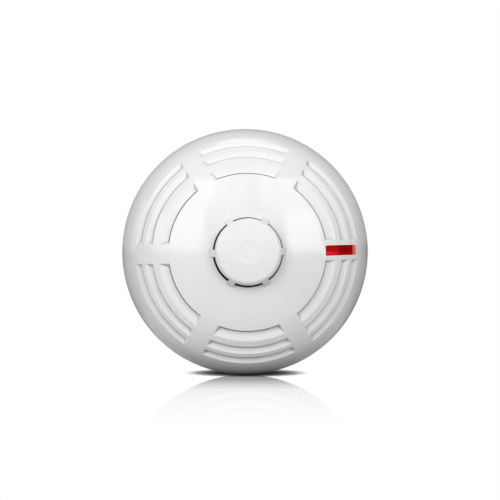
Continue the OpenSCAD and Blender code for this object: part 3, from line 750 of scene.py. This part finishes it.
FLOOR_HALF = 4.0
BOUNCE_DROP = 0.0001  # the bounce table lies this far below the one that shows
BOUNCE_STOPS = [(0, 0.28), (0.03, 0.35), (0.08, 0.5), (0.16, 0.12), (0.4, 0.12)]
SHINE_REACH = 0.3  # radius of the shining patch, in metres
SHINE_STOPS = [(0, 1.0), (0.12, 0.98), (0.25, 0.53), (0.33, 0.26), (0.5, 0.17), (0.7, 0.1), (0.95, 0)]
SHINE_BEHIND = 0.15  # share of the shine that is left behind the detector's rim
SHINE_EDGE = (0.004, -0.002)  # it falls to that share between these places, in metres from the rim's foot
CONTACT_SHADOW_PLACE = (0.001, 0.013, 0)  # middle of the painted shadow under the detector, from the foot of its rim
CONTACT_SHADOW_SIZE = (0.0275, 0.032, 1.0)
CONTACT_SHADOW_STOPS = [(0, 0.01), (0.45, 0.015), (0.65, 0.09), (0.8, 0.3), (0.92, 0.7), (1.0, 1.0)]
SOFTBOX_DISTANCE = 1.3
WALL_POWER = 150
SKY_BLUR = 0.02  # how soft the horizon is
SKY_STRENGTH = 0.25

CAMERA_AZIMUTH = math.radians(-1.75)
CAMERA_ELEVATION = math.radians(0.45)
CAMERA_ROLL = math.radians(-1.3)
CAMERA_DISTANCE = 1.0
CAMERA_SHIFT = (0.0096, 0.0037)  # the detector's axis sits a little left of and below the picture's middle
VIEW_WIDTH = 0.22  # width of the picture at the rim, in metres
SENSOR = 36.0


def add_plane(name, drop=0.0):
    bm = bmesh.new()
    bmesh.ops.create_grid(bm, x_segments=8, y_segments=8, size=FLOOR_HALF)
    mesh = bpy.data.meshes.new(name)
    bm.to_mesh(mesh)
    bm.free()
    plane = bpy.data.objects.new(name, mesh)
    foot = Matrix.Translation((0, 0, -RIM_R * MM - drop))
    plane.matrix_world = Matrix.Translation(CENTRE) @ STUDIO_TURN @ foot
    bpy.context.scene.collection.objects.link(plane)
    return plane


def build_floor():
    """The white table that the camera sees: evenly lit, with a painted shadow where the detector touches it.

    It shines in front of the detector. The shine fades outwards, so the mirror image does too. From below
    the table is clear.
    """
    floor = add_plane("studio_floor")
    floor.visible_diffuse = False
    floor.visible_glossy = False
    floor.visible_shadow = False
    n = Nodes("white acrylic floor")
    place = n.add("TexCoord").outputs["Object"]
    away = n.add("VectorMath", {0: place}, operation="LENGTH")
    share = n.add("Math", {0: away.outputs["Value"], 1: SHINE_REACH}, operation="DIVIDE")
    shine = n.ramp(share.outputs[0], SHINE_STOPS)
    split = n.add("SeparateXYZ", {0: place})
    in_front = n.add(
        "MapRange",
        {
            "Value": split.outputs["Y"],
            "From Min": SHINE_EDGE[0],
            "From Max": SHINE_EDGE[1],
            "To Min": SHINE_BEHIND,
        },
    )
    patch = n.add("Math", {0: shine, 1: in_front.outputs["Result"]}, operation="MULTIPLY")
    grazing = n.add("Fresnel", {"IOR": 1.5})
    mirrored = n.add("Math", {0: patch.outputs[0], 1: grazing.outputs[0]}, operation="MULTIPLY")
    centred = n.add("VectorMath", {0: place, 1: CONTACT_SHADOW_PLACE}, operation="SUBTRACT")
    scaled = n.add("VectorMath", {0: centred.outputs["Vector"], 1: CONTACT_SHADOW_SIZE}, operation="DIVIDE")
    from_contact = n.add("VectorMath", {0: scaled.outputs["Vector"]}, operation="LENGTH")
    # painted shadow round the detector's foot; it darkens the table's glow and its mirror image
    shade = n.ramp(from_contact.outputs["Value"], CONTACT_SHADOW_STOPS)
    lit = n.add("Emission", {"Color": shade, "Strength": 1.0})
    gloss = n.add("BsdfGlossy", {"Color": shade, "Roughness": 0.025})
    above = n.add("MixShader", {0: mirrored.outputs[0], 1: lit.outputs[0], 2: gloss.outputs[0]})
    clear = n.add("BsdfTransparent")
    underneath = n.add("NewGeometry").outputs["Backfacing"]
    floor.data.materials.append(
        n.finish(n.add("MixShader", {0: underneath, 1: above.outputs[0], 2: clear.outputs[0]}))
    )
    return floor


def build_bounce():
    """The same table as the detector sees it: it throws the softboxes' light back up."""
    bounce = add_plane("bounce_floor", drop=BOUNCE_DROP)
    bounce.visible_camera = False
    bounce.visible_shadow = False
    n = Nodes("table below the detector")
    away = n.add("VectorMath", {0: n.add("TexCoord").outputs["Object"]}, operation="LENGTH")
    white = n.ramp(away.outputs["Value"], BOUNCE_STOPS)
    bounce.data.materials.append(n.finish(n.add("BsdfDiffuse", {"Color": white})))


def area_light(name, place, target, size, power):
    data = bpy.data.lights.new(name, "AREA")
    data.shape = "SQUARE"
    data.size = size
    data.energy = power
    light = bpy.data.objects.new(name, data)
    light.location = place
    light.rotation_mode = "QUATERNION"
    light.rotation_quaternion = (Vector(target) - light.location).to_track_quat("-Z", "Y")
    bpy.context.scene.collection.objects.link(light)
    return light


def softbox(name, azimuth, elevation, power, size=0.55):
    """A square softbox aimed at the detector; azimuth 0 is straight in front and grows towards +X."""
    a, e = math.radians(azimuth), math.radians(elevation)
    way = STUDIO_TURN @ Vector((math.cos(e) * math.sin(a), -math.cos(e) * math.cos(a), math.sin(e)))
    light = area_light(name, CENTRE + way * SOFTBOX_DISTANCE, CENTRE, size, power)
    light.light_linking.receiver_collection = bpy.data.collections["all but the floor"]
    return light


def link_floor(floor):
    """Makes the collections that say which lights reach the table, and the white walls that it mirrors."""
    only_floor = bpy.data.collections.new("floor only")
    only_floor.objects.link(floor)
    but_floor = bpy.data.collections.new("all but the floor")
    but_floor.objects.link(floor)
    but_floor.collection_objects[0].light_linking.link_state = "EXCLUDE"
    for k, side in enumerate(("right", "back", "left", "front")):
        a = math.radians(90 * k)
        place = (FLOOR_HALF * math.cos(a), FLOOR_HALF * math.sin(a), 0)
        wall = area_light("white_wall_" + side, place, (0, 0, 0), 2 * FLOOR_HALF, WALL_POWER)
        wall.light_linking.receiver_collection = only_floor
        wall.visible_camera = False


def build_world():
    """White for the camera; for the object, a soft sky above the horizon."""
    world = bpy.data.worlds.new("studio")
    bpy.context.scene.world = world
    world.use_nodes = True
    tree = world.node_tree
    tree.nodes.clear()
    links = tree.links
    place = tree.nodes.new("ShaderNodeTexCoord")
    split = tree.nodes.new("ShaderNodeSeparateXYZ")
    links.new(place.outputs["Generated"], split.inputs[0])
    glow = tree.nodes.new("ShaderNodeMapRange")
    for socket, value in (("From Max", SKY_BLUR), ("To Max", SKY_STRENGTH)):
        glow.inputs[socket].default_value = value
    links.new(split.outputs["Z"], glow.inputs["Value"])
    soft = tree.nodes.new("ShaderNodeBackground")
    white = tree.nodes.new("ShaderNodeBackground")
    path = tree.nodes.new("ShaderNodeLightPath")
    mixed = tree.nodes.new("ShaderNodeMixShader")
    output = tree.nodes.new("ShaderNodeOutputWorld")
    for shader in (soft, white):
        shader.inputs["Color"].default_value = (1, 1, 1, 1)
    links.new(glow.outputs["Result"], soft.inputs["Strength"])
    links.new(path.outputs["Is Camera Ray"], mixed.inputs[0])
    links.new(soft.outputs[0], mixed.inputs[1])
    links.new(white.outputs[0], mixed.inputs[2])
    links.new(mixed.outputs[0], output.inputs[0])


def build_camera():
    data = bpy.data.cameras.new("camera")
    camera = bpy.data.objects.new("camera", data)
    bpy.context.scene.collection.objects.link(camera)
    bpy.context.scene.camera = camera
    data.sensor_width = SENSOR
    data.lens = SENSOR * CAMERA_DISTANCE / VIEW_WIDTH
    data.clip_start = 0.01
    data.clip_end = 20
    back = Vector((
        math.sin(CAMERA_AZIMUTH) * math.cos(CAMERA_ELEVATION),
        -math.cos(CAMERA_AZIMUTH) * math.cos(CAMERA_ELEVATION),
        math.sin(CAMERA_ELEVATION),
    ))
    camera.location = CENTRE + back * CAMERA_DISTANCE
    turn = (-back).to_track_quat("-Z", "Y").to_matrix().to_4x4()
    roll = Matrix.Rotation(CAMERA_ROLL, 4, "Z")
    camera.matrix_world = Matrix.Translation(camera.location) @ turn @ roll
    data.shift_x, data.shift_y = CAMERA_SHIFT


build_camera()
link_floor(build_floor())
build_bounce()
build_world()
softbox("left_low", -36, 12, 3.1)
softbox("left_high", -36, 36, 2.5)
softbox("left_side", -60, 12, 2.5)
softbox("front", 0, 8, 1.3)
softbox("front_high", -12, 36, 1.35)
softbox("right_low", 36, 12, 3.7)
softbox("right_high", 24, 36, 1.9)
softbox("right_side", 48, 36, 1.5)
softbox("rim_left", -120, 12, 0.8)
softbox("rim_top", 180, 70, 1.7)
for side in (-1, 1):
    fill = softbox("back_fill", side * 150, 25, 4.5)
    fill.visible_glossy = False
bpy.context.scene.view_settings.view_transform = "Standard"
